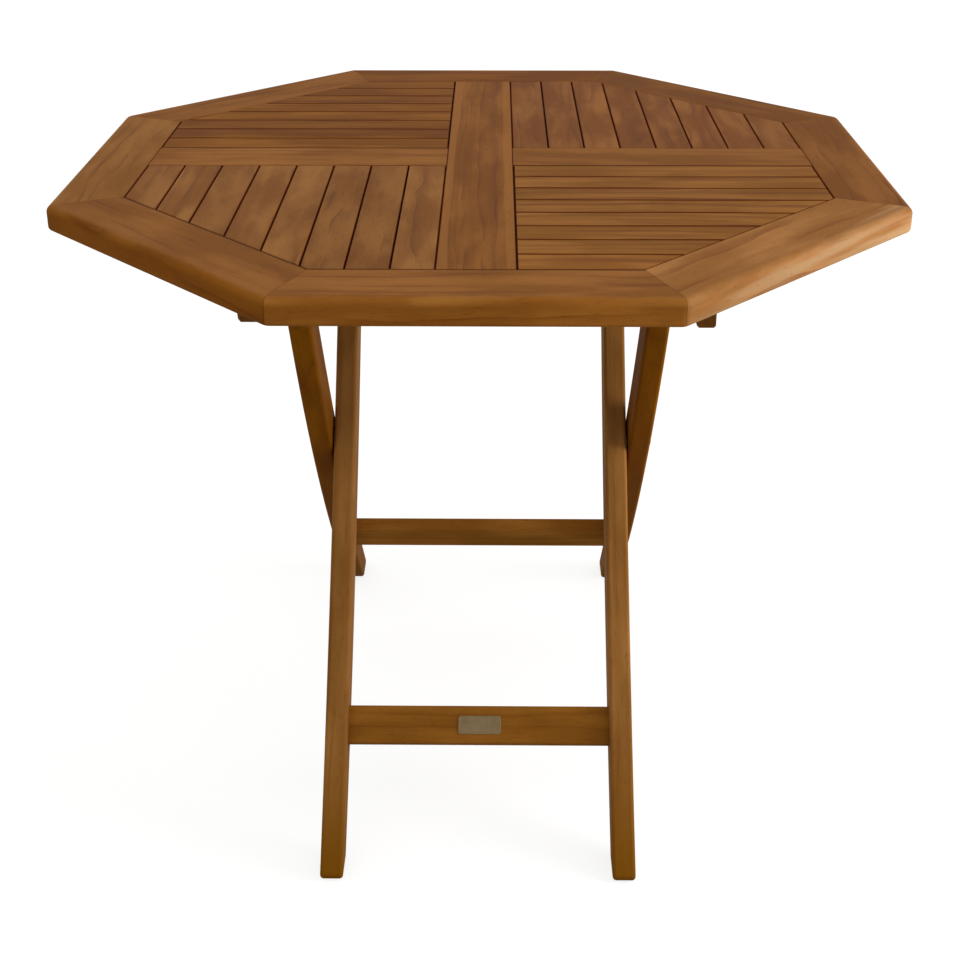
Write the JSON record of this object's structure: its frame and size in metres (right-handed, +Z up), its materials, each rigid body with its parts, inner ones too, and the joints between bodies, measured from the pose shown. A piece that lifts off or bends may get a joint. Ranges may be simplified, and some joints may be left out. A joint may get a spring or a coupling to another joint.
{
  "type": "folding garden table",
  "caption": "Octagonal slatted teak garden table on crossed, slightly curved legs that scissor flat against the underside of the top.",
  "frame": {"origin": "on the floor, under the middle of the top", "axes": "+Z up, X across along the leg pivots, -Y towards the feet of the inner legs"},
  "size_m": [0.9, 0.9, 0.75],
  "materials": {
    "teak_frame": "oiled teak, sanded",
    "teak_slats": "oiled teak, sanded",
    "teak_legs": "oiled teak, sanded",
    "stainless_hardware": "satin stainless steel"
  },
  "bodies": {
    "top": {"back_left_rail": "teak_frame", "back_left_slat_1": "teak_slats", "back_left_slat_2": "teak_slats", "back_left_slat_3": "teak_slats", "back_left_slat_4": "teak_slats", "back_left_slat_5": "teak_slats", "back_left_slat_6": "teak_slats", "back_left_slat_7": "teak_slats", "back_left_slat_8": "teak_slats", "back_rail": "teak_frame", "back_right_rail": "teak_frame", "back_right_slat_1": "teak_slats", "back_right_slat_2": "teak_slats", "back_right_slat_3": "teak_slats", "back_right_slat_4": "teak_slats", "back_right_slat_5": "teak_slats", "back_right_slat_6": "teak_slats", "back_right_slat_7": "teak_slats", "back_right_slat_8": "teak_slats", "centre_rail": "teak_frame", "front_left_rail": "teak_frame", "front_left_slat_1": "teak_slats", "front_left_slat_2": "teak_slats", "front_left_slat_3": "teak_slats", "front_left_slat_4": "teak_slats", "front_left_slat_5": "teak_slats", "front_left_slat_6": "teak_slats", "front_left_slat_7": "teak_slats", "front_left_slat_8": "teak_slats", "front_rail": "teak_frame", "front_right_rail": "teak_frame", "front_right_slat_1": "teak_slats", "front_right_slat_2": "teak_slats", "front_right_slat_3": "teak_slats", "front_right_slat_4": "teak_slats", "front_right_slat_5": "teak_slats", "front_right_slat_6": "teak_slats", "front_right_slat_7": "teak_slats", "front_right_slat_8": "teak_slats", "left_cross_rail": "teak_frame", "left_rail": "teak_frame", "left_runner": "teak_frame", "mitre_tenons": "teak_frame", "right_cross_rail": "teak_frame", "right_rail": "teak_frame", "right_runner": "teak_frame", "runner_screws": "stainless_hardware"},
    "outer_legs": {"left_outer_leg": "teak_legs", "right_outer_leg": "teak_legs", "rear_stretcher": "teak_legs", "hinge_bolts": "stainless_hardware", "hinge_nuts": "stainless_hardware", "pivot_bolts": "stainless_hardware", "spacer_washers": "stainless_hardware"},
    "inner_legs": {"left_inner_leg": "teak_legs", "right_inner_leg": "teak_legs", "front_stretcher": "teak_legs", "top_bar": "teak_legs", "pivot_inserts": "stainless_hardware"}
  },
  "joints": [
    {"name": "outer_leg_hinge", "type": "hinge", "parent": "top", "child": "outer_legs", "pos_m": [0, -0.2, 0.7], "axis": [1, 0, 0], "range_deg": [0, 49]},
    {"name": "inner_leg_pivot", "type": "hinge", "parent": "outer_legs", "child": "inner_legs", "pos_m": [0, 0, 0.38954], "axis": [-1, 0, 0], "range_deg": [0, 98]}
  ],
  "couplings": [
    {"joint": "inner_leg_pivot", "follows": "outer_leg_hinge", "ratio": 2}
  ]
}
